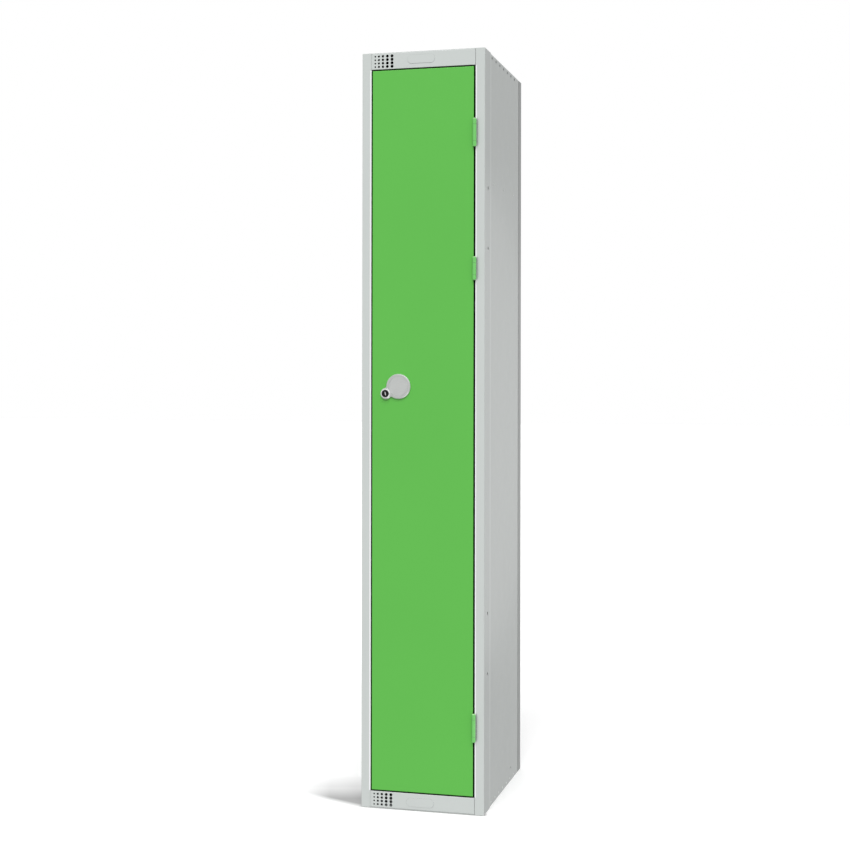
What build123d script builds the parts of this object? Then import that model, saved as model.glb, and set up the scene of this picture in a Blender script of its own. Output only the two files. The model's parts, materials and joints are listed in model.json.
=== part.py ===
from build123d import *
from math import hypot
import os

# School locker: a folded sheet-steel carcass with one full-height door hung on its right side.
# Millimetres. +Z is up, +X is to the right seen from the front, and the front faces -Y.
# The origin is on the floor under the middle of the carcass.

# ---- Driving dimensions ----

height = 1800
width = 300
depth = 450
sheet = 0.8
fold = 1.6  # outside radius of a fold

# Plan section of a side panel, from the door opening round to the back
stile = 22.7
stile_depth = 22
stile_lip = 10
band_end = -159  # the front band steps in here
band_step = 1.8
recess_start = 186  # the main panel steps in here, under the back panel's side return
recess_step = sheet  # so that the side return lies flush with the main panel
joggle = 4  # length of a step
back_return = 14

# Rails above and below the door
rail_height = 39.5
rail_return = 15
seam = 0.3  # butt seam between a rail and a stile
stop_lip = 9  # lip that the door closes against

# Rail perforations: five columns that grow to the right, in four rows
hole_rows = 4
hole_pitch = 8.25
hole_radii = (2.0, 2.6, 3.0, 3.5, 3.7)
hole_start = -118
hole_web = 4.4  # metal left between two columns
hole_line = 20.5  # from the outer edge of the rail to the middle of the rows
emboss_x = -4.7
emboss_line = 18.5
emboss_width = 68
emboss_height = 21
emboss_rise = 0.7

# Trays: roof, floor and hat shelf
tray_flange = 15
shelf_top = 1500
shelf_front = -188
shelf_nose = 22

# Door
gap = 2.8
hinge_gap = 4.0
door_depth = 20
door_lip = 12
buffer_height = 1.4
clear = 0.3  # between two bodies that meet without load

# Hinges: (bottom, top) of each
hinge_spans = {"bottom": (171.0, 238.0), "middle": (1255.0, 1310.0), "top": (1568.0, 1635.0)}
hinge_x = 126.3
hinge_proud = 4.6  # from the face of the frame to the axis
knuckle_radius = 4.6
pin_radius = 2.5
pin_play = 0.05
leaf = 1.0
leaf_depth = 18
frame_knuckle = 12
knuckle_gap = 0.4
pin_head = 2.0

# Round pull with a lobe for the cam lock
disc_x = -59
disc_z = 1004.9
disc_radius = 29.7
lobe_radius = 13.4
pull_rise = 5
pull_bevel = 1.8
number_radius = 23.4
number_depth = 1.0
lock_x = -89.7
lock_z = 987.9

# Cam lock
ring_radius = 11.4
ring_rise = 3.5
ring_bevel = 1.3
plug_head_radius = 8.9
barrel_radius = 9.3
barrel_flats = 16
plug_radius = 7
barrel_end = -202.6
square = 7.8
cam_thickness = 2
cam_reach = 46
cam_width = 16
key_width = 2.6
key_height = 9
key_tilt = 12  # degrees from vertical
keyway_depth = 11
shutter_depth = 1.0
screw_radius = 2.0

# Holes
nest_y = -187
nest_heights = (325, 468, 1332, 1475)
nest_radius = 4.25
rear_hole = (98, 33)
jig_radius = 3
wall_hole_x = 75
wall_hole_z = 1700
wall_hole_radius = 3.5
rivet_radius = 1.6
rivet_line = 8
side_rivet_ys = [-138 + 45 * i for i in range(7)]
shelf_rivet_ys = [-120, 0, 120]
back_rivet_xs = [-90, 0, 90]

# ---- Places worked out from them ----

front = -depth / 2
back = depth / 2
side = width / 2
opening = side - stile  # half the width between the stiles
main_side = side - band_step
rear_side = main_side - recess_step  # outside of the side panel's rear flange

door_left = -opening + gap
door_right = opening - hinge_gap
door_bottom = rail_height + gap
door_top = height - rail_height - gap
door_mid = ((door_left + door_right) / 2, (door_bottom + door_top) / 2)
door_width = door_right - door_left
door_height = door_top - door_bottom
door_back = front + door_depth
door_inside = front + sheet
stop_face = door_back + clear + buffer_height
buffer_zs = (door_bottom + 3.5, door_top - 3.5)
buffer_xs = (-90, 90)

roof_line = height - rivet_line
floor_line = rivet_line
shelf_line = shelf_top - rivet_line
rivet_lines = {floor_line: side_rivet_ys, shelf_line: shelf_rivet_ys, roof_line: side_rivet_ys}

pull_face = front - pull_rise
ring_face = pull_face - ring_rise
plug_face = ring_face + 0.3
cam_front = barrel_end + 0.4
cam_back = cam_front + cam_thickness
hinge_y = front - hinge_proud
hinge_axis = (hinge_x, hinge_y)


def facing_front(y):
    """Plane at y that looks out of the front: local x is X, local y is Z, extrude goes to -Y."""
    return Plane.XZ.offset(-y)


def finish(piece, name):
    """Label a finished piece and write it."""
    piece.label = name
    export_step(piece, f"parts/{name}.step")


# ---- Side panels ----

with BuildPart() as left_side:
    with BuildSketch():
        with BuildLine():
            FilletPolyline(
                (-opening - stile_lip, front + stile_depth),
                (-opening, front + stile_depth),
                (-opening, front),
                (-side, front),
                (-side, band_end),
                (-main_side, band_end + joggle),
                (-main_side, recess_start),
                (-rear_side, recess_start + joggle),
                (-rear_side, back - sheet),
                (-rear_side + back_return, back - sheet),
                radius=fold,
            )
            offset(amount=sheet, side=Side.RIGHT)
        make_face()
    extrude(amount=height)
    with BuildSketch(Plane.YZ.offset(-side - 1)):
        with Locations(*[(nest_y, z) for z in nest_heights]):
            Circle(nest_radius)
        with Locations(rear_hole):
            Circle(jig_radius)
        with Locations(*[(y, z) for z, ys in rivet_lines.items() for y in ys]):
            Circle(rivet_radius)
    extrude(amount=8, mode=Mode.SUBTRACT)
finish(left_side.part, "side_panel_left")

with BuildPart() as right_side:
    mirror(left_side.part, about=Plane.YZ)
finish(right_side.part, "side_panel_right")

# ---- Back panel: a tray whose side returns lap over the side panels' rear flanges ----

lap_side = rear_side + sheet
with BuildPart() as back_panel:
    with BuildSketch():
        with BuildLine():
            FilletPolyline(
                (-lap_side, recess_start + joggle + 0.5),
                (-lap_side, back),
                (lap_side, back),
                (lap_side, recess_start + joggle + 0.5),
                radius=fold,
            )
            offset(amount=sheet, side=Side.RIGHT)
        make_face()
    extrude(amount=height)
    with BuildSketch(facing_front(back + 1)):
        with Locations((-wall_hole_x, wall_hole_z), (wall_hole_x, wall_hole_z)):
            Circle(wall_hole_radius)
        with Locations(*[(x, z) for z in rivet_lines for x in back_rivet_xs]):
            Circle(rivet_radius)
    extrude(amount=4, mode=Mode.SUBTRACT)
finish(back_panel.part, "back_panel")

# ---- Roof, floor and hat shelf: trays with flanges riveted to the side and back panels ----

tray_side = main_side - sheet
tray_rear_side = rear_side - sheet
tray_back = back - 2 * sheet
tray_step = recess_start - 1  # clear of the joggle's inner fold


def right_tray_edge(closes_front):
    """Points down the right edge of a tray, from its front to its back."""
    rear = [(tray_side, tray_step), (tray_rear_side, tray_step + joggle + 1)]
    rear += [(tray_rear_side, tray_back - 1), (tray_rear_side - 1, tray_back)]
    if not closes_front:
        return [(tray_side, shelf_front)] + rear
    stile_back = front + stile_depth
    nose = front + sheet + 0.2
    inner = opening + sheet + 0.2
    lip_end = opening + stile_lip + 0.3
    wall = side - sheet - 0.2
    notch = [(opening - 0.3, nose), (opening - 0.3, stile_back + 0.3), (lip_end, stile_back + 0.3)]
    stile_cap = [(lip_end, stile_back - sheet - 0.2), (inner, stile_back - sheet - 0.2)]
    stile_cap += [(inner, nose + 1), (wall - 1, nose + 1), (wall, nose + 2)]
    band = [(wall, band_end - 1), (tray_side, band_end + joggle - 1)]
    return notch + stile_cap + band + rear


def tray_plate(bottom, closes_front):
    """Flat part of a tray, one sheet thick, over the plane z = bottom."""
    right = right_tray_edge(closes_front)
    left = [(-x, y) for x, y in reversed(right)]
    with BuildPart() as plate:
        with BuildSketch(Plane.XY.offset(bottom)):
            with BuildLine():
                Polyline(*right, *left, close=True)
            make_face()
            with Locations((0, tray_back + sheet / 2)):
                Rectangle(2 * (tray_rear_side - back_return - 2), sheet)
        extrude(amount=sheet)
    return plate.part


def tray_flanges(bottom, first_y):
    """Side and back flanges, tray_flange high, over the plane z = bottom, with their rivet holes."""
    length = tray_step - first_y
    line = bottom + (tray_flange - rivet_line if bottom > 0 else rivet_line)
    with BuildPart() as flanges:
        with BuildSketch(Plane.XY.offset(bottom)):
            for x in (-tray_side + sheet / 2, tray_side - sheet / 2):
                with Locations((x, first_y + length / 2)):
                    Rectangle(sheet, length)
            with Locations((0, tray_back + sheet / 2)):
                Rectangle(2 * (tray_rear_side - back_return - 2), sheet)
        extrude(amount=tray_flange)
        with BuildSketch(Plane.YZ.offset(-side)):
            with Locations(*[(y, line) for y in rivet_lines[round(line)]]):
                Circle(rivet_radius)
        extrude(amount=width, mode=Mode.SUBTRACT)
        with BuildSketch(facing_front(back)):
            with Locations(*[(x, line) for x in back_rivet_xs]):
                Circle(rivet_radius)
        extrude(amount=3, mode=Mode.SUBTRACT)
    return flanges.part


flange_start = band_end + joggle + 1
with BuildPart() as roof:
    add(tray_plate(height - sheet, True))
    add(tray_flanges(height - tray_flange, flange_start))
finish(roof.part, "roof_panel")

with BuildPart() as floor:
    add(tray_plate(0, True))
    add(tray_flanges(0, flange_start))
finish(floor.part, "floor_panel")

with BuildPart() as hat_shelf:
    add(tray_plate(shelf_top - sheet, False))
    add(tray_flanges(shelf_top - tray_flange, flange_start))
    with BuildSketch(Plane.YZ.offset(-tray_side)):
        with BuildLine():
            FilletPolyline(
                (shelf_front + 12, shelf_top - shelf_nose),
                (shelf_front, shelf_top - shelf_nose),
                (shelf_front, shelf_top),
                (shelf_front + 12, shelf_top),
                radius=fold,
            )
            offset(amount=sheet, side=Side.RIGHT)
        make_face()
    extrude(amount=2 * tray_side)
    with BuildSketch(Plane.XY.offset(shelf_top - 5)):
        with Locations((-9, 0), (9, 0)):
            Circle(rivet_radius)
    extrude(amount=10, mode=Mode.SUBTRACT)
finish(hat_shelf.part, "hat_shelf")

# ---- Rails above and below the door ----

hole_columns = []
column_x = hole_start
for radius, next_radius in zip(hole_radii, hole_radii[1:] + (0,)):
    hole_columns.append((column_x, radius))
    column_x += radius + hole_web + next_radius
hole_rises = [hole_pitch * (row - (hole_rows - 1) / 2) for row in range(hole_rows)]


def blank_badge(radius_inset, plane):
    """Rounded blank panel pressed into a rail, drawn on a plane whose origin is its centre."""
    with BuildSketch(plane) as badge:
        with Locations((0, 0)):
            RectangleRounded(
                emboss_width - 2 * radius_inset,
                emboss_height - 2 * radius_inset,
                emboss_height / 2 - radius_inset - 0.1,
            )
    return badge.sketch


with BuildPart() as top_rail_sheet:
    with BuildSketch(Plane.YZ.offset(-opening + seam)):
        with BuildLine():
            FilletPolyline(
                (front + rail_return, height - sheet),
                (front, height - sheet),
                (front, height - rail_height),
                (stop_face, height - rail_height),
                (stop_face, height - rail_height - stop_lip),
                radius=fold,
            )
            offset(amount=sheet, side=Side.LEFT)
        make_face()
    extrude(amount=2 * (opening - seam))
    with BuildSketch(facing_front(front + 2)):
        for x, radius in hole_columns:
            with Locations(*[(x, height - hole_line + rise) for rise in hole_rises]):
                Circle(radius)
    extrude(amount=4, mode=Mode.SUBTRACT)
    with BuildSketch(facing_front(stop_face + 2)):
        with Locations(*[(x, buffer_zs[1]) for x in buffer_xs]):
            Circle(rivet_radius)
    extrude(amount=4, mode=Mode.SUBTRACT)

badge_plane = Plane((emboss_x, front + sheet, height - emboss_line), x_dir=(1, 0, 0), z_dir=(0, -1, 0))
with BuildPart() as top_rail:
    add(top_rail_sheet.part)
    with BuildSketch(badge_plane):
        add(blank_badge(0, Plane.XY))
    extrude(amount=sheet + emboss_rise, taper=20)
    with BuildSketch(badge_plane):
        add(blank_badge(0.7, Plane.XY))
    extrude(amount=emboss_rise, taper=20, mode=Mode.SUBTRACT)
finish(top_rail.part, "top_rail")

floor_badge_plane = Plane((emboss_x, front + sheet, emboss_line), x_dir=(1, 0, 0), z_dir=(0, -1, 0))
with BuildPart() as bottom_rail:
    mirror(top_rail_sheet.part, about=Plane.XY.offset(height / 2))
    with BuildSketch(floor_badge_plane):
        add(blank_badge(0, Plane.XY))
    extrude(amount=sheet + emboss_rise, taper=20)
    with BuildSketch(floor_badge_plane):
        add(blank_badge(0.7, Plane.XY))
    extrude(amount=emboss_rise, taper=20, mode=Mode.SUBTRACT)
finish(bottom_rail.part, "bottom_rail")

# ---- Rivets, buffers and hooks ----

with BuildPart() as rivet:
    with BuildSketch(Plane.XZ):
        with BuildLine():
            Polyline((0, 0.9), (1.6, 0.9), (2.9, 0.3), (2.9, 0), (rivet_radius, 0))
            Polyline((rivet_radius, 0), (rivet_radius, -2 * sheet), (2.3, -2 * sheet - 0.4))
            Polyline((2.3, -2 * sheet - 0.4), (1.9, -2 * sheet - 1.6), (0, -2 * sheet - 1.6), (0, 0.9))
        make_face()
    revolve(axis=Axis.Z)

for name, face_x, x_dir in (("left", -main_side, (-1, 0, 0)), ("right", main_side, (1, 0, 0))):
    with BuildPart() as side_rivets:
        places = [(face_x, y, z) for z, ys in rivet_lines.items() for y in ys]
        with Locations(*[Location(Plane(place, x_dir=(0, 0, 1), z_dir=x_dir)) for place in places]):
            add(rivet.part)
    finish(side_rivets.part, f"side_rivets_{name}")

with BuildPart() as back_rivets:
    places = [(x, back, z) for z in rivet_lines for x in back_rivet_xs]
    with Locations(*[Location(Plane(place, x_dir=(1, 0, 0), z_dir=(0, 1, 0))) for place in places]):
        add(rivet.part)
finish(back_rivets.part, "back_rivets")

with BuildPart() as buffer:
    with BuildSketch(Plane.XZ):
        with BuildLine():
            Polyline((0, buffer_height), (3.6, buffer_height), (4.2, buffer_height - 0.6), (4.2, 0))
            Polyline((4.2, 0), (rivet_radius, 0), (rivet_radius, -sheet), (2.6, -sheet - 0.8))
            Polyline((2.6, -sheet - 0.8), (1.2, -sheet - 3), (0, -sheet - 3), (0, buffer_height))
        make_face()
    revolve(axis=Axis.Z)

with BuildPart() as door_buffers:
    places = [(x, stop_face, z) for x in buffer_xs for z in buffer_zs]
    with Locations(*[Location(Plane(place, x_dir=(1, 0, 0), z_dir=(0, -1, 0))) for place in places]):
        add(buffer.part)
finish(door_buffers.part, "door_buffers")

hook_wire = 2.5
hook_plate = 2
hook_top = shelf_top - sheet
with BuildPart() as coat_hook:
    with BuildSketch(Plane.XY.offset(hook_top)):
        RectangleRounded(32, 16, 4)
        with Locations((-9, 0), (9, 0)):
            Circle(rivet_radius, mode=Mode.SUBTRACT)
    extrude(amount=-hook_plate)
    with BuildLine() as prong:
        FilletPolyline(
            (0, 0, hook_top - hook_plate + 0.5),
            (0, 0, hook_top - 34),
            (0, -32, hook_top - 42),
            (0, -40, hook_top - 20),
            radius=9,
        )
    with BuildSketch(Plane.XY.offset(hook_top - hook_plate + 0.5)):
        Circle(hook_wire)
    sweep(path=prong.line)
    with Locations((0, -40, hook_top - 20)):
        Sphere(hook_wire + 1.2)
    mirror(about=Plane.XZ)
finish(coat_hook.part, "coat_hook")

with BuildPart() as hook_rivets:
    places = [(x, 0, hook_top - hook_plate) for x in (-9, 9)]
    with Locations(*[Location(Plane(place, x_dir=(1, 0, 0), z_dir=(0, 0, -1))) for place in places]):
        Cylinder(2.9, 1.0, align=(Align.CENTER, Align.CENTER, Align.MIN))
        Cylinder(rivet_radius, hook_plate + sheet, align=(Align.CENTER, Align.CENTER, Align.MAX))
    places = [(x, 0, shelf_top) for x in (-9, 9)]
    with Locations(*places):
        Cylinder(2.3, 0.9, align=(Align.CENTER, Align.CENTER, Align.MIN))
finish(hook_rivets.part, "hook_rivets")

# ---- Door ----

with BuildPart() as door_skin:
    with BuildSketch(facing_front(front)):
        with Locations(door_mid):
            Rectangle(door_width, door_height)
    extrude(amount=-door_depth)
    fillet(door_skin.faces().sort_by(Axis.Y)[0].edges(), radius=fold)
    offset(amount=-sheet, openings=door_skin.faces().sort_by(Axis.Y)[-1])
    with BuildSketch(facing_front(door_back)):
        with Locations(door_mid):
            Rectangle(door_width, door_height)
            Rectangle(door_width - 2 * door_lip, door_height - 2 * door_lip, mode=Mode.SUBTRACT)
    extrude(amount=sheet)
    with BuildSketch(facing_front(front + 3)):
        with Locations((lock_x, lock_z)):
            Circle(barrel_radius + 0.1)
        with Locations((disc_x, disc_z - 17), (disc_x, disc_z + 17)):
            Circle(screw_radius + 0.2)
    extrude(amount=6, mode=Mode.SUBTRACT)
finish(door_skin.part, "door_skin")

stiffener_x = 28
stiffener_rise = 13
with BuildPart() as stiffener:
    with BuildSketch(Plane.XY.offset(door_bottom + 50)):
        with BuildLine():
            FilletPolyline(
                (stiffener_x - 34, door_inside),
                (stiffener_x - 20, door_inside),
                (stiffener_x - 14, door_inside + stiffener_rise),
                (stiffener_x + 14, door_inside + stiffener_rise),
                (stiffener_x + 20, door_inside),
                (stiffener_x + 34, door_inside),
                radius=fold,
            )
            offset(amount=sheet, side=Side.LEFT)
        make_face()
    extrude(amount=door_height - 100)
finish(stiffener.part, "door_stiffener")

# ---- Hinges ----


def knuckle_run(span):
    """Bottom and top of a hinge's knuckles, between the two ends of its pin."""
    return span[0] + pin_head / 2, span[1] - pin_head


def hinge_leaf(strip_x, neck_reach, bore, sections, run):
    """Leaf against an edge of the gap, with its knuckles over the given z sections."""
    strip_front = front + 1.6
    with BuildPart() as piece:
        with BuildSketch(Plane.XY.offset(run[0])):
            with Locations((strip_x, strip_front)):
                Rectangle(leaf, leaf_depth, align=(Align.MIN, Align.MIN))
        extrude(amount=run[1] - run[0])
        for low, high in sections:
            with BuildSketch(Plane.XY.offset(low)):
                with Locations(hinge_axis):
                    Circle(knuckle_radius)
                with Locations((strip_x, hinge_y + neck_reach)):
                    Rectangle(leaf, strip_front + 1 - hinge_y - neck_reach, align=(Align.MIN, Align.MIN))
                with Locations(hinge_axis):
                    Circle(bore, mode=Mode.SUBTRACT)
            extrude(amount=high - low)
    return piece.part


for name, span in hinge_spans.items():
    run = knuckle_run(span)
    lower = (run[0], run[0] + frame_knuckle)
    upper = (run[1] - frame_knuckle, run[1])
    middle = (lower[1] + knuckle_gap, upper[0] - knuckle_gap)

    frame_leaf = hinge_leaf(opening - leaf, 3.6, pin_radius + 0.02, (lower, upper), run)
    finish(frame_leaf, f"hinge_frame_leaf_{name}")

    door_leaf = hinge_leaf(door_right, 3.4, pin_radius + pin_play, (middle,), run)
    finish(door_leaf, f"hinge_door_leaf_{name}")

    with BuildPart() as pin:
        with BuildSketch(Plane.XY.offset(span[0])):
            with Locations(hinge_axis):
                Circle(pin_radius)
        extrude(amount=run[1] - span[0] + 0.5)
        with BuildSketch(Plane.XY.offset(run[1])):
            with Locations(hinge_axis):
                Circle(knuckle_radius - 0.3)
        extrude(amount=span[1] - run[1])
        fillet(pin.faces().sort_by(Axis.Z)[-1].edges(), radius=1.4)
        chamfer(pin.faces().sort_by(Axis.Z)[0].edges(), length=0.4)
    finish(pin.part, f"hinge_pin_{name}")

# ---- Round pull ----


def lock_hole(radius, flats):
    """Round hole or barrel section with two flats, left and right, drawn about the origin."""
    with BuildSketch() as section:
        Circle(radius)
        Rectangle(flats, 2 * radius, mode=Mode.INTERSECT)
    return section.sketch


def on_both_circles(edge):
    """True for the two edges where the lobe's wall meets the disc's."""
    place = edge.center()
    from_disc = hypot(place.X - disc_x, place.Z - disc_z) - disc_radius
    from_lobe = hypot(place.X - lock_x, place.Z - lock_z) - lobe_radius
    return abs(from_disc) + abs(from_lobe) < 0.01


pull_screw_zs = (disc_z - 17, disc_z + 17)
with BuildPart() as pull_plate:
    with BuildSketch(facing_front(front)):
        with Locations((disc_x, disc_z)):
            Circle(disc_radius)
        with Locations((lock_x, lock_z)):
            Circle(lobe_radius)
    extrude(amount=pull_rise)
    fillet(pull_plate.edges().filter_by(Axis.Y).filter_by(on_both_circles), radius=5)
    chamfer(pull_plate.faces().sort_by(Axis.Y)[0].edges(), length=pull_bevel, length2=pull_bevel)
    with BuildSketch(facing_front(pull_face)):
        with Locations((disc_x, disc_z)):
            Circle(number_radius)
    extrude(amount=-number_depth, mode=Mode.SUBTRACT)
    with BuildSketch(facing_front(pull_face - 1)):
        with Locations((lock_x, lock_z)):
            add(lock_hole(barrel_radius + 0.1, barrel_flats + 0.2))
    extrude(amount=-pull_rise - 2, mode=Mode.SUBTRACT)
    with BuildSketch(facing_front(front)):
        with Locations(*[(disc_x, z) for z in pull_screw_zs]):
            Circle(screw_radius + 0.02)
    extrude(amount=3, mode=Mode.SUBTRACT)
finish(pull_plate.part, "pull_plate")

with BuildPart() as number_disc:
    with BuildSketch(facing_front(pull_face + number_depth)):
        with Locations((disc_x, disc_z)):
            Circle(number_radius - 0.25)
    extrude(amount=number_depth - 0.15)
    chamfer(number_disc.faces().sort_by(Axis.Y)[0].edges(), length=0.3)
finish(number_disc.part, "number_disc")

with BuildPart() as pull_screws:
    places = [(disc_x, door_inside, z) for z in pull_screw_zs]
    with Locations(*[Location(Plane(place, x_dir=(1, 0, 0), z_dir=(0, 1, 0))) for place in places]):
        Cylinder(screw_radius, sheet + 2.6, align=(Align.CENTER, Align.CENTER, Align.MAX))
        Cylinder(3.8, 2.2, align=(Align.CENTER, Align.CENTER, Align.MIN))
    with Locations(*[(x, door_inside + 2.2, z) for x, _, z in places]):
        Box(5.4, 2.4, 0.9, mode=Mode.SUBTRACT)
        Box(0.9, 2.4, 5.4, mode=Mode.SUBTRACT)
finish(pull_screws.part, "pull_screws")

# ---- Cam lock ----

with BuildPart() as lock_housing:
    with BuildSketch(facing_front(pull_face)):
        with Locations((lock_x, lock_z)):
            Circle(ring_radius)
    extrude(amount=ring_rise)
    chamfer(lock_housing.faces().sort_by(Axis.Y)[0].edges(), length=ring_bevel)
    with BuildSketch(facing_front(pull_face)):
        with Locations((lock_x, lock_z)):
            add(lock_hole(barrel_radius, barrel_flats))
    extrude(amount=-(barrel_end - pull_face))
    with BuildSketch(facing_front(ring_face)):
        with Locations((lock_x, lock_z)):
            Circle(plug_head_radius + 0.1)
    extrude(amount=-ring_rise, mode=Mode.SUBTRACT)
    with BuildSketch(facing_front(ring_face)):
        with Locations((lock_x, lock_z)):
            Circle(plug_radius)
    extrude(amount=-(barrel_end - ring_face), mode=Mode.SUBTRACT)
finish(lock_housing.part, "lock_housing")

with BuildPart() as lock_washer:
    with BuildSketch(facing_front(door_inside)):
        with Locations((lock_x, lock_z)):
            Circle(13.5)
            Circle(barrel_radius + 0.05, mode=Mode.SUBTRACT)
    extrude(amount=-0.8)
finish(lock_washer.part, "lock_washer")

with BuildPart() as lock_nut:
    with BuildSketch(facing_front(door_inside + 0.8)):
        with Locations((lock_x, lock_z)):
            RegularPolygon(12, 6, major_radius=False)
            Circle(barrel_radius + 0.02, mode=Mode.SUBTRACT)
    extrude(amount=-5)
finish(lock_nut.part, "lock_nut")

key_across = Vector(1, 0, 0).rotate(Axis.Y, -key_tilt)
key_plane = Plane((lock_x, plug_face, lock_z), x_dir=key_across, z_dir=(0, -1, 0))
with BuildPart() as lock_plug:
    with BuildSketch(facing_front(plug_face)):
        with Locations((lock_x, lock_z)):
            Circle(plug_head_radius)
    extrude(amount=-(pull_face - clear - plug_face))
    with BuildSketch(facing_front(pull_face - 1)):
        with Locations((lock_x, lock_z)):
            Circle(plug_radius - pin_play)
    extrude(amount=-(cam_front - 0.1 - pull_face + 1))
    with BuildSketch(facing_front(cam_front - 1)):
        with Locations((lock_x, lock_z)):
            Rectangle(square, square)
    extrude(amount=-cam_thickness - 1)
    fillet(lock_plug.faces().sort_by(Axis.Y)[0].edges(), radius=0.5)
    with BuildSketch(key_plane):
        RectangleRounded(key_width, key_height, 0.6)
    extrude(amount=-keyway_depth, mode=Mode.SUBTRACT)
    with BuildSketch(facing_front(cam_back)):
        with Locations((lock_x, lock_z)):
            Circle(screw_radius)
    extrude(amount=9, mode=Mode.SUBTRACT)
finish(lock_plug.part, "lock_plug")

with BuildPart() as key_shutter:
    with BuildSketch(key_plane.offset(-shutter_depth)):
        RectangleRounded(key_width - 0.05, key_height - 0.05, 0.55)
    extrude(amount=-0.6)
finish(key_shutter.part, "key_shutter")

with BuildPart() as lock_cam:
    with BuildSketch(facing_front(cam_front)):
        with Locations((lock_x, lock_z)):
            Circle(cam_width / 2 + 1)
            Rectangle(square + 0.1, square + 0.1, mode=Mode.SUBTRACT)
        with Locations((lock_x, lock_z - cam_reach / 2 - 4)):
            RectangleRounded(cam_width, cam_reach - 8, 3)
    extrude(amount=-cam_thickness)
finish(lock_cam.part, "lock_cam")

with BuildPart() as cam_screw:
    with Locations(Location(Plane((lock_x, cam_back, lock_z), x_dir=(1, 0, 0), z_dir=(0, 1, 0)))):
        Cylinder(screw_radius, 8, align=(Align.CENTER, Align.CENTER, Align.MAX))
        Cylinder(6, 0.8, align=(Align.CENTER, Align.CENTER, Align.MIN))
        Cylinder(4.2, 3, align=(Align.CENTER, Align.CENTER, Align.MIN))
    with Locations((lock_x, cam_back + 3, lock_z)):
        Box(6, 2.4, 1, mode=Mode.SUBTRACT)
        Box(1, 2.4, 6, mode=Mode.SUBTRACT)
finish(cam_screw.part, "cam_screw")
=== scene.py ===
import json
import math

import bpy
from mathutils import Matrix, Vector


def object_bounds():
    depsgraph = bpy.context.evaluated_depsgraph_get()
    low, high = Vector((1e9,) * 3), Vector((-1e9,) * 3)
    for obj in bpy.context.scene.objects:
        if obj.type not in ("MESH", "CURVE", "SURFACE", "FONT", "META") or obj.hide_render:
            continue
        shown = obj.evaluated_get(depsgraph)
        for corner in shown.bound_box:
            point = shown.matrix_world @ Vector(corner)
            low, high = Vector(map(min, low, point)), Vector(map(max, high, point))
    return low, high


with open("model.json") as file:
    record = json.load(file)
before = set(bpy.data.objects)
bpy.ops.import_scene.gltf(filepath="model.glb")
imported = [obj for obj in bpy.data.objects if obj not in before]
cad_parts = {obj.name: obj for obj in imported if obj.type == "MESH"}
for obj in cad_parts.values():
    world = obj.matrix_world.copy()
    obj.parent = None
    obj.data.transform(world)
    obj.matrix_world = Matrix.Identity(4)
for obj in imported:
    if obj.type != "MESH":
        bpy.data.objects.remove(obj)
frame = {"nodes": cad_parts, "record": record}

# School locker. Metres, in the part's frame: +Z up, +X right seen from the front, front faces -Y.

cad_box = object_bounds()
nodes = frame["nodes"]

# ---- Colours, linear ----

GREY = (0.640, 0.678, 0.660)
BACK_GREY = (0.395, 0.418, 0.408)
GREEN = (0.123, 0.540, 0.076)
# Paler than the door's green: a painted highlight on the hinge knuckles and the pin caps
HINGE_HIGHLIGHT_GREEN = (0.190, 0.640, 0.160)
CAP_HIGHLIGHT_GREEN = (0.420, 0.800, 0.350)
SATIN = (0.69, 0.71, 0.695)
ZINC = (0.60, 0.61, 0.60)
CHROME = (0.90, 0.90, 0.91)
BLACK = (0.010, 0.009, 0.011)
RUBBER = (0.018, 0.018, 0.019)
STEEL = (0.50, 0.51, 0.52)
# White of the painted highlight on the stiles' inner folds
FOLD_HIGHLIGHT_WHITE = (0.97, 0.98, 1.0)
FLOOR_LOW = (0.94, 0.94, 0.94)
FLOOR_HIGH = (0.96, 0.96, 0.96)
# Colours of the painted contact shadow and of the painted soft shadow on the floor
FLOOR_CONTACT_SHADOW = (0.05, 0.05, 0.05)
FLOOR_SHADE = (0.34, 0.34, 0.34)

# ---- Where the coats, their painted highlights and painted shade change. A pair is the start and the end of a soft edge. ----

HALF_HEIGHT = 0.9
FRONT_BACK_TO = (-0.2236, -0.2226)  # masks of the front face end just behind it
FOLD_OUT_TO = (0.1300, 0.1312)  # the painted highlight on the stiles' inner folds, out from the middle
OPENING_UP_TO = (0.858, 0.8605)  # ends of the door opening, from half height
WELD_MIDDLE = 0.1273  # seam between stile and rail, out from the middle
WELD_HALF_WIDTH = (0.0028, 0.0032)
WELD_FROM = (0.8605, 0.8615)  # the rails start here, from half height
FOOT_UP_TO = (0.007, 0.010)
FOOT_BACK_TO = (-0.2240, -0.2236)
SEAM_MIDDLE = -0.156  # weld of the front band's return to the side sheet, where a pale highlight is painted
SEAM_HALF_WIDTH = (0.007, 0.013)
DARK_RIVETS_FROM = (1.6, 1.65)

# ---- Masks made from noise, edges and gaps ----

NOISE_RANGE = (0.3, 0.7)  # where nearly all of a noise texture lies
EDGE_COSINES = (0.995, 0.85)  # between the true normal and the one of the rounded edge

# Painted shade from ambient occlusion: how far away a neighbour still hides the sky, then the
# open share that is dark and that is clear
SHELL_GAP_SHADE = (0.012, 0.42, 0.82)
OTHER_GAP_SHADE = (0.03, 0.25, 0.55)
# Painted shade inside the shut locker, and how dark it goes
SHUT_INSIDE_SHADE = (0.5, 0.01, 0.08)
SHUT_INSIDE_LEVEL = 0.1
FLOOR_CONTACT_GAP = (0.009, 0.5, 1.0)

# ---- Camera ----

CAMERA_PLACE = (0.92153, -3.71144, 1.02408)
CAMERA_TURN = 0.256825
CAMERA_ROLL = -0.001559
CAMERA_LENS = 64.506
CAMERA_SENSOR = 36
CAMERA_SHIFT_Y = -0.05479
CAMERA_REACH = 100

# ---- Light ----

AMBIENT_ABOVE = 0.47
AMBIENT_BELOW = 0.50
HORIZON = 0.1  # the two levels blend where a direction rises or falls less than this

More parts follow.
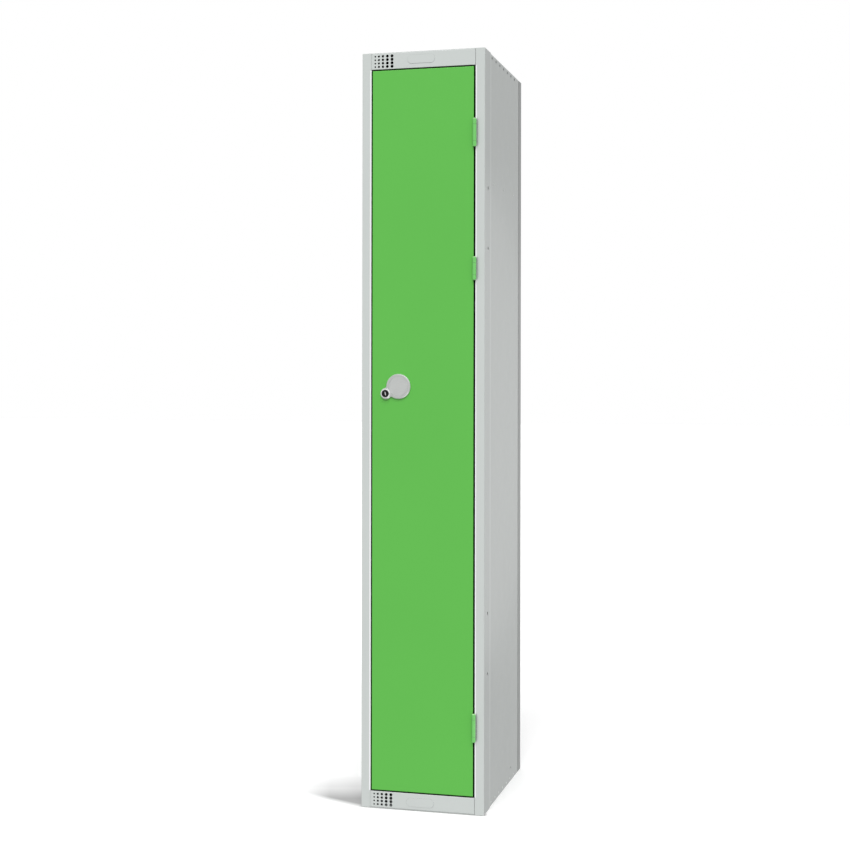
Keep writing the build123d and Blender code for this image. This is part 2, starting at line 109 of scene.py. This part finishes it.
# Name: degrees right of the front, degrees up, strength, angular size in degrees
SUNS = {
    "key": (8, 48, 2.13, 40),
    "side": (75, 45, 0.27, 50),
    "back_fill": (200, 40, 0.7, 60),
}

GLOW_SIZE = (0.744, 2.0)
GLOW_ENERGY = 0.88
GLOW_PLACE = (0.803, 2.0, 0.86)
BOUNCE_SIZE = (1.4, 1.4)
BOUNCE_ENERGY = 5.5
BOUNCE_PLACE = (0.85, -0.6, -0.35)
BOUNCE_TARGET = (-0.05, -0.23, 1.0)

# ---- Floor and the soft shadow painted on it beside the left side ----

FLOOR_REACH = 30.0
FLOOR_DROP = 0.0002
FLOOR_GLOW = 0.1
CONTACT_BACK_TO = (-0.22, -0.2)
CONTACT_STRENGTH = 0.9
SHADE_COS, SHADE_SIN = 0.967, 0.254  # the shade's rear edge, turned from the X axis
SHADE_FRONT_SLOPE = 0.425
SHADE_DEEP = (-0.11, -0.02)
SHADE_REAR = (0.0, 0.12)
SHADE_LEFT = (-0.375, -0.285)
SHADE_FRONT = (-0.302, -0.272)
SHADE_RIGHT = (-0.155, -0.145)
SHADE_WEAK = 0.46


# ---- Materials ----


def tint(colour, factor):
    return tuple(min(1.0, c * factor) for c in colour)


class Graph:
    """A material's node tree, with short calls for what the materials below share."""

    def __init__(self, name, **shader):
        self.material = bpy.data.materials.new(name)
        self.material.use_nodes = True
        self.tree = self.material.node_tree
        self.tree.nodes.clear()
        self.shader = self.node("ShaderNodeBsdfPrincipled", **shader)
        output = self.node("ShaderNodeOutputMaterial")
        self.link(self.shader, "BSDF", output, "Surface")
        coordinates = self.node("ShaderNodeTexCoord")
        self.place = coordinates.outputs["Object"]

    def node(self, kind, settings=None, **inputs):
        """Adds a node. Settings are its properties, and an input's name has _ for a space."""
        made = self.tree.nodes.new(kind)
        for key, value in (settings or {}).items():
            setattr(made, key, value)
        for key, value in inputs.items():
            self.put(made, key.replace("_", " "), value)
        return made

    def put(self, node, key, value):
        """Links a socket's value into an input, or sets a plain value or colour on it."""
        socket = node.inputs[key]
        if isinstance(value, bpy.types.NodeSocket):
            self.tree.links.new(value, socket)
        elif isinstance(value, tuple) and len(value) == 3 and socket.type == "RGBA":
            socket.default_value = (*value, 1)
        else:
            socket.default_value = value

    def link(self, a, out, b, into):
        self.tree.links.new(a.outputs[out], b.inputs[into])

    def axes(self):
        """The X, Y and Z of the object's own coordinates."""
        parts = self.node("ShaderNodeSeparateXYZ", Vector=self.place)
        return parts.outputs["X"], parts.outputs["Y"], parts.outputs["Z"]

    def stretched(self, scale):
        """The object's own coordinates, scaled by (x, y, z)."""
        mapping = self.node("ShaderNodeMapping", Scale=scale, Vector=self.place)
        return mapping.outputs["Vector"]

    def noise(self, scale, detail=3.0, roughness=0.5, vector=None):
        made = self.node("ShaderNodeTexNoise", Scale=scale, Detail=detail, Roughness=roughness)
        self.put(made, "Vector", vector or self.place)
        return made.outputs["Fac"]

    def ramp(self, value, low, high, to_low, to_high):
        made = self.node(
            "ShaderNodeMapRange", From_Min=low, From_Max=high, To_Min=to_low, To_Max=to_high
        )
        self.put(made, "Value", value)
        return made.outputs["Result"]

    def spread(self, noise, to_low, to_high):
        """The noise, stretched so that its usual range goes from one value to the other."""
        return self.ramp(noise, *NOISE_RANGE, to_low, to_high)

    def up_to(self, value, edge):
        """1 below the soft edge, 0 above it."""
        return self.ramp(value, *edge, 1.0, 0.0)

    def past(self, value, edge):
        """0 below the soft edge, 1 above it."""
        return self.ramp(value, *edge, 0.0, 1.0)

    # A mix node has a set of sockets for each kind of data, so they go by number.

    def mix(self, factor, first, second):
        """The first colour where the factor is 0, the second where it is 1."""
        made = self.node("ShaderNodeMix", {"data_type": "RGBA"})
        for index, value in ((0, factor), (6, first), (7, second)):
            self.put(made, index, value)
        return made.outputs[2]

    def flattened(self, mask, normal, flat):
        """The normal, replaced by the fixed direction where the mask is 1."""
        made = self.node("ShaderNodeMix", {"data_type": "VECTOR"})
        for index, value in ((0, mask), (4, normal), (5, flat)):
            self.put(made, index, value)
        return made.outputs[1]

    def maths(self, operation, first, second):
        made = self.node("ShaderNodeMath", {"operation": operation})
        for index, value in enumerate((first, second)):
            self.put(made, index, value)
        return made.outputs[0]

    def product(self, first, *others):
        for other in others:
            first = self.maths("MULTIPLY", first, other)
        return first

    def off(self, value, middle):
        """How far the value is from the middle."""
        return self.maths("ABSOLUTE", self.maths("SUBTRACT", value, middle), 0.0)

    def bump(self, height, distance, strength, under=None):
        made = self.node("ShaderNodeBump", Strength=strength, Distance=distance, Height=height)
        if under:
            self.put(made, "Normal", under)
        return made.outputs["Normal"]

    def edges(self, radius):
        """1 on sharp or tightly folded edges, 0 on flat sheet."""
        bevel = self.node("ShaderNodeBevel", {"samples": 4}, Radius=radius)
        geometry = self.node("ShaderNodeNewGeometry")
        dot = self.node("ShaderNodeVectorMath", {"operation": "DOT_PRODUCT"})
        self.link(bevel, "Normal", dot, 0)
        self.link(geometry, "Normal", dot, 1)
        return self.ramp(dot.outputs["Value"], *EDGE_COSINES, 0.0, 1.0)

    def clear(self, gap, in_gap=0.0, outside=1.0):
        """One value deep in gaps and holes, the other on open faces, found by ambient occlusion
        to paint shade. Gap is as listed above.
        """
        reach, dark, open_share = gap
        made = self.node("ShaderNodeAmbientOcclusion", {"samples": 8}, Distance=reach)
        return self.ramp(made.outputs["AO"], dark, open_share, in_gap, outside)

    def fold_highlight(self):
        """1 on the front of the stiles' folds beside the door opening, where a white highlight is
        painted.
        """
        x, y, z = self.axes()
        beside = self.up_to(self.off(x, 0.0), FOLD_OUT_TO)
        beside = self.product(beside, self.up_to(y, FRONT_BACK_TO))
        return self.product(beside, self.up_to(self.off(z, HALF_HEIGHT), OPENING_UP_TO))

    def weld(self):
        """1 on the filled and sanded weld seams between the stiles and the rails."""
        x, y, z = self.axes()
        beside = self.up_to(self.off(self.off(x, 0.0), WELD_MIDDLE), WELD_HALF_WIDTH)
        beside = self.product(beside, self.past(self.off(z, HALF_HEIGHT), WELD_FROM))
        return self.product(beside, self.up_to(y, FRONT_BACK_TO))

    def foot(self):
        """1 along the bottom edge, where the painted shade from the floor is left off."""
        _, y, z = self.axes()
        return self.product(self.up_to(z, FOOT_UP_TO), self.up_to(y, FOOT_BACK_TO))

    def seam_highlight(self):
        """1 along the upright where the front band's return is welded to the side sheet, where a
        pale highlight is painted.
        """
        _, y, _ = self.axes()
        return self.up_to(self.off(y, SEAM_MIDDLE), SEAM_HALF_WIDTH)

    def done(self, colour, roughness, normal=None):
        self.put(self.shader, "Base Color", colour)
        self.put(self.shader, "Roughness", roughness)
        if normal:
            self.put(self.shader, "Normal", normal)
        return self.material


def powder_coat(name, colour, gloss=0.34, seam=False, shell=False):
    """Satin powder coat: slow changes of tone, fine specks, orange peel, painted highlights on
    folds.

    It goes dark in gaps and holes as painted shade. A shell coat is for the carcass sheets: its
    painted shade reaches into narrower gaps and inside the shut locker, and it hides the weld
    seams. A seam coat adds painted highlights on the side sheets: a pale line along a seam and
    white lines on the stiles' folds.
    """
    g = Graph(name, Specular_IOR_Level=0.4, Coat_Weight=0.35, Coat_Roughness=0.1)
    slow = g.spread(g.noise(3.0, 2.0), 0.0, 1.0)
    specks = g.ramp(g.noise(160.0, 2.0), 0.35, 0.65, 0.0, 0.3)
    tone = g.mix(slow, tint(colour, 0.98), tint(colour, 1.015))
    tone = g.mix(specks, tone, tint(colour, 0.975))
    # Painted highlight: a paler line along the front band's seam on the side sheets.
    if seam:
        tone = g.mix(g.seam_highlight(), tone, tint(colour, 1.12))
    # Painted highlight: folds and sharp edges paler.
    tone = g.mix(g.product(g.edges(0.0011), 0.3), tone, tint(colour, 1.15))
    rough = g.ramp(g.noise(38.0, 4.0, 0.6), 0.25, 0.75, gloss - 0.03, gloss + 0.04)
    peel = g.bump(g.noise(420.0, 2.0, 0.45), 0.000006, 0.8)
    normal = g.bump(g.noise(2600.0, 1.0), 0.000002, 0.5, peel)
    # Painted shade: a shell coat also goes dark inside the shut locker, and keeps it off the weld
    # seams and the bottom edge.
    if shell:
        weld = g.weld()
        lit = g.maths("MAXIMUM", g.clear(SHELL_GAP_SHADE), g.maths("MAXIMUM", weld, g.foot()))
        lit = g.product(lit, g.clear(SHUT_INSIDE_SHADE, SHUT_INSIDE_LEVEL))
        normal = g.flattened(weld, normal, (0, -1, 0))
    else:
        lit = g.clear(OTHER_GAP_SHADE)
    # Painted shade: nearly black in gaps and holes.
    tone = g.mix(lit, tint(colour, 0.01), tone)
    # Painted highlight: white lines on the stiles' inner folds beside the door opening.
    if seam:
        tone = g.mix(g.fold_highlight(), tone, FOLD_HIGHLIGHT_WHITE)
    return g.done(tone, rough, normal)


def rivet_coat(name):
    """Rivets painted over with the carcass, except the row along the top, which is much darker.
    """
    g = Graph(name, Specular_IOR_Level=0.4)
    _, _, z = g.axes()
    painted = g.mix(g.noise(160.0, 2.0), tint(GREY, 0.95), tint(GREY, 1.02))
    dark_top_row = g.mix(g.noise(700.0, 3.0), tint(STEEL, 0.14), tint(STEEL, 0.3))
    tone = g.mix(g.past(z, DARK_RIVETS_FROM), painted, dark_top_row)
    rough = g.spread(g.noise(600.0, 3.0), 0.36, 0.5)
    return g.done(tone, rough, g.bump(g.noise(1500.0, 3.0), 0.00001, 0.5))


def plated(name, colour, roughness=0.28, cloud=0.1, metallic=1.0):
    """Plated metal: cloudy and bright with fine pits, and a painted highlight on its edges."""
    g = Graph(name, Metallic=metallic)
    clouds = g.spread(g.noise(90.0, 4.0, 0.6), 0.0, 1.0)
    tone = g.mix(clouds, tint(colour, 1 - cloud), tint(colour, 1 + cloud))
    # Painted highlight: edges paler.
    tone = g.mix(g.product(g.edges(0.0004), 0.5), tone, tint(colour, 1.35))
    rough = g.spread(g.noise(240.0, 3.0), roughness - 0.07, roughness + 0.1)
    return g.done(tone, rough, g.bump(g.noise(1500.0, 3.0), 0.00002, 0.5))


def satin_metal(name, colour, roughness, scale, metallic):
    """Satin metal with a fine grain, drawn out along the direction of the smallest scale.

    Edges and bevels get a painted highlight.
    """
    g = Graph(name, Metallic=metallic)
    grain = g.noise(1.0, 3.0, 0.55, g.stretched(scale))
    tone = g.mix(g.spread(grain, 0.0, 1.0), tint(colour, 0.95), tint(colour, 1.05))
    # Painted highlight: edges and bevels paler.
    tone = g.mix(g.product(g.edges(0.001), 0.7), tone, tint(colour, 1.3))
    rough = g.spread(grain, roughness - 0.05, roughness + 0.06)
    rough = g.maths("ADD", rough, g.spread(g.noise(55.0, 3.0), -0.03, 0.04))
    return g.done(tone, rough, g.bump(grain, 0.00001, 0.6))


def rubber(name):
    """Matt black rubber."""
    g = Graph(name, Specular_IOR_Level=0.3)
    tone = g.mix(g.noise(300.0, 3.0), tint(RUBBER, 0.8), tint(RUBBER, 1.6))
    rough = g.spread(g.noise(500.0, 2.0), 0.6, 0.85)
    return g.done(tone, rough, g.bump(g.noise(1200.0, 3.0), 0.00004, 0.7))


def white_floor(name):
    """White floor with a painted contact shadow under the front and a painted soft shadow at the
    left.
    """
    g = Graph(
        name,
        Specular_IOR_Level=0.1,
        Emission_Color=(1, 1, 1),
        Emission_Strength=FLOOR_GLOW,
    )
    x, y, _ = g.axes()
    tone = g.mix(g.noise(2.0, 2.0), FLOOR_LOW, FLOOR_HIGH)
    # Painted contact shadow under the front, from ambient occlusion.
    contact = g.clear(FLOOR_CONTACT_GAP, CONTACT_STRENGTH, 0.0)
    contact = g.product(contact, g.up_to(y, CONTACT_BACK_TO))
    tone = g.mix(contact, tone, FLOOR_CONTACT_SHADOW)
    # Painted shadow: a soft wedge beside the left side, placed by the floor's own coordinates.
    away = g.maths("ADD", g.product(x, -SHADE_SIN), g.product(y, SHADE_COS))
    along = g.maths("ADD", g.product(x, SHADE_COS), g.product(y, SHADE_SIN))
    front = g.maths("ADD", y, g.product(x, SHADE_FRONT_SLOPE))
    shade = g.product(
        g.ramp(away, *SHADE_DEEP, 1.0, SHADE_WEAK),
        g.up_to(away, SHADE_REAR),
        g.past(along, SHADE_LEFT),
        g.past(front, SHADE_FRONT),
        g.up_to(x, SHADE_RIGHT),
    )
    return g.done(g.mix(shade, tone, FLOOR_SHADE), 0.9)


EVEN_GRAIN = (900.0, 900.0, 900.0)
LONG_GRAIN = (90.0, 400.0, 2400.0)
FINE_GRAIN = (1500.0, 1500.0, 1500.0)

materials = {
    "carcass_grey": powder_coat("carcass_grey_coat", GREY, shell=True),
    "side_grey": powder_coat("side_grey_coat", GREY, 0.2, seam=True, shell=True),
    "back_grey": powder_coat("back_grey_coat", BACK_GREY, 0.4),
    "door_green": powder_coat("door_green_coat", GREEN),
    # The hinge and cap coats are paler greens than the door's: a painted highlight on rounded
    # knuckles and pin caps.
    "hinge_green": powder_coat("hinge_highlight_green_coat", HINGE_HIGHLIGHT_GREEN, 0.3),
    "cap_green": powder_coat("cap_highlight_green_coat", CAP_HIGHLIGHT_GREEN, 0.25),
    "rivet_steel": rivet_coat("rivet_steel_coat"),
    "hook_zinc": plated("hook_plate", ZINC),
    "buffer_rubber": rubber("buffer_rubber_skin"),
    "pull_satin": satin_metal("pull_satin_cast", SATIN, 0.34, EVEN_GRAIN, 0.6),
    "number_satin": satin_metal("number_satin_grain", SATIN, 0.42, LONG_GRAIN, 0.6),
    "lock_chrome": plated("lock_chrome_plate", CHROME, 0.12, 0.03, 0.35),
    "lock_black": satin_metal("lock_black_nickel", BLACK, 0.32, FINE_GRAIN, 0.4),
}


def dress_cad():
    """Gives every CAD node the finish of its slot in the record."""
    slots = {part["node"]: part["material_slot"] for part in frame["record"]["subparts"]}
    for name, node in nodes.items():
        finish = materials[slots[name]]
        for slot in node.material_slots:
            slot.material = finish


# ---- Camera, stage and light ----


def add_object(name, data, location=(0, 0, 0), rotation=(0, 0, 0)):
    """Puts the data into the scene as an object."""
    made = bpy.data.objects.new(name, data)
    made.location = location
    made.rotation_euler = rotation
    bpy.context.scene.collection.objects.link(made)
    return made


def add_camera():
    data = bpy.data.cameras.new("camera")
    data.lens = CAMERA_LENS
    data.sensor_width = CAMERA_SENSOR
    data.shift_y = CAMERA_SHIFT_Y
    data.clip_end = CAMERA_REACH
    rotation = (math.pi / 2, CAMERA_ROLL, CAMERA_TURN)
    bpy.context.scene.camera = add_object("camera", data, CAMERA_PLACE, rotation)


def add_stage():
    mesh = bpy.data.meshes.new("floor")
    corners = [(-1, -1), (1, -1), (1, 1), (-1, 1)]
    vertices = [(x * FLOOR_REACH, y * FLOOR_REACH, 0) for x, y in corners]
    mesh.from_pydata(vertices, [], [(0, 1, 2, 3)])
    floor = add_object("floor", mesh, (0, 0, cad_box[0][2] - FLOOR_DROP))
    mesh.materials.append(white_floor("floor_white"))
    floor.visible_diffuse = False
    floor.visible_glossy = False
    floor.visible_shadow = False


def facing(direction):
    """Rotation of a light whose rays go against the direction."""
    return direction.to_track_quat("Z", "Y").to_euler()


def add_sun(name, azimuth, elevation, strength, spread):
    """Sun whose light comes from azimuth degrees right of the front, elevation degrees up."""
    data = bpy.data.lights.new(name, "SUN")
    data.energy = strength
    data.angle = math.radians(spread)
    a = math.radians(azimuth)
    e = math.radians(elevation)
    source = Vector((math.sin(a) * math.cos(e), -math.cos(a) * math.cos(e), math.sin(e)))
    add_object(name, data, rotation=facing(source))


def add_area(name, shape, size, energy, location, rotation):
    """Area light that only shows in reflections."""
    data = bpy.data.lights.new(name, "AREA")
    data.shape = shape
    data.size, data.size_y = size
    data.energy = energy
    light = add_object(name, data, location, rotation)
    light.visible_camera = False
    light.visible_diffuse = False


def add_world():
    """White to the camera, and a dimmer ambient light to everything else."""
    world = bpy.data.worlds.new("studio")
    bpy.context.scene.world = world
    world.use_nodes = True
    tree = world.node_tree
    tree.nodes.clear()
    output = tree.nodes.new("ShaderNodeOutputWorld")
    mix = tree.nodes.new("ShaderNodeMixShader")
    path = tree.nodes.new("ShaderNodeLightPath")
    ambient = tree.nodes.new("ShaderNodeBackground")
    seen = tree.nodes.new("ShaderNodeBackground")
    direction = tree.nodes.new("ShaderNodeTexCoord")
    parts = tree.nodes.new("ShaderNodeSeparateXYZ")
    level = tree.nodes.new("ShaderNodeMapRange")
    level.inputs["From Min"].default_value = -HORIZON
    level.inputs["From Max"].default_value = HORIZON
    level.inputs["To Min"].default_value = AMBIENT_BELOW
    level.inputs["To Max"].default_value = AMBIENT_ABOVE
    seen.inputs["Strength"].default_value = 1.0
    for background in (ambient, seen):
        background.inputs["Color"].default_value = (1, 1, 1, 1)
    tree.links.new(direction.outputs["Generated"], parts.inputs[0])
    tree.links.new(parts.outputs["Z"], level.inputs["Value"])
    tree.links.new(level.outputs["Result"], ambient.inputs["Strength"])
    tree.links.new(path.outputs["Is Camera Ray"], mix.inputs[0])
    tree.links.new(ambient.outputs[0], mix.inputs[1])
    tree.links.new(seen.outputs[0], mix.inputs[2])
    tree.links.new(mix.outputs[0], output.inputs[0])


def add_lights():
    for name, values in SUNS.items():
        add_sun(name, *values)
    # Softbox behind and to the right, whose reflection brightens the middle of the side panel.
    toward_front = (-math.pi / 2, 0, 0)
    add_area("back_panel_glow", "ELLIPSE", GLOW_SIZE, GLOW_ENERGY, GLOW_PLACE, toward_front)
    # The white floor at the right, seen in what faces down and to the right.
    toward_pull = facing(Vector(BOUNCE_PLACE) - Vector(BOUNCE_TARGET))
    add_area("floor_bounce", "DISK", BOUNCE_SIZE, BOUNCE_ENERGY, BOUNCE_PLACE, toward_pull)


add_camera()
dress_cad()
add_stage()
add_world()
add_lights()
bpy.context.scene.view_settings.view_transform = "Standard"
bpy.context.scene.view_settings.look = "None"
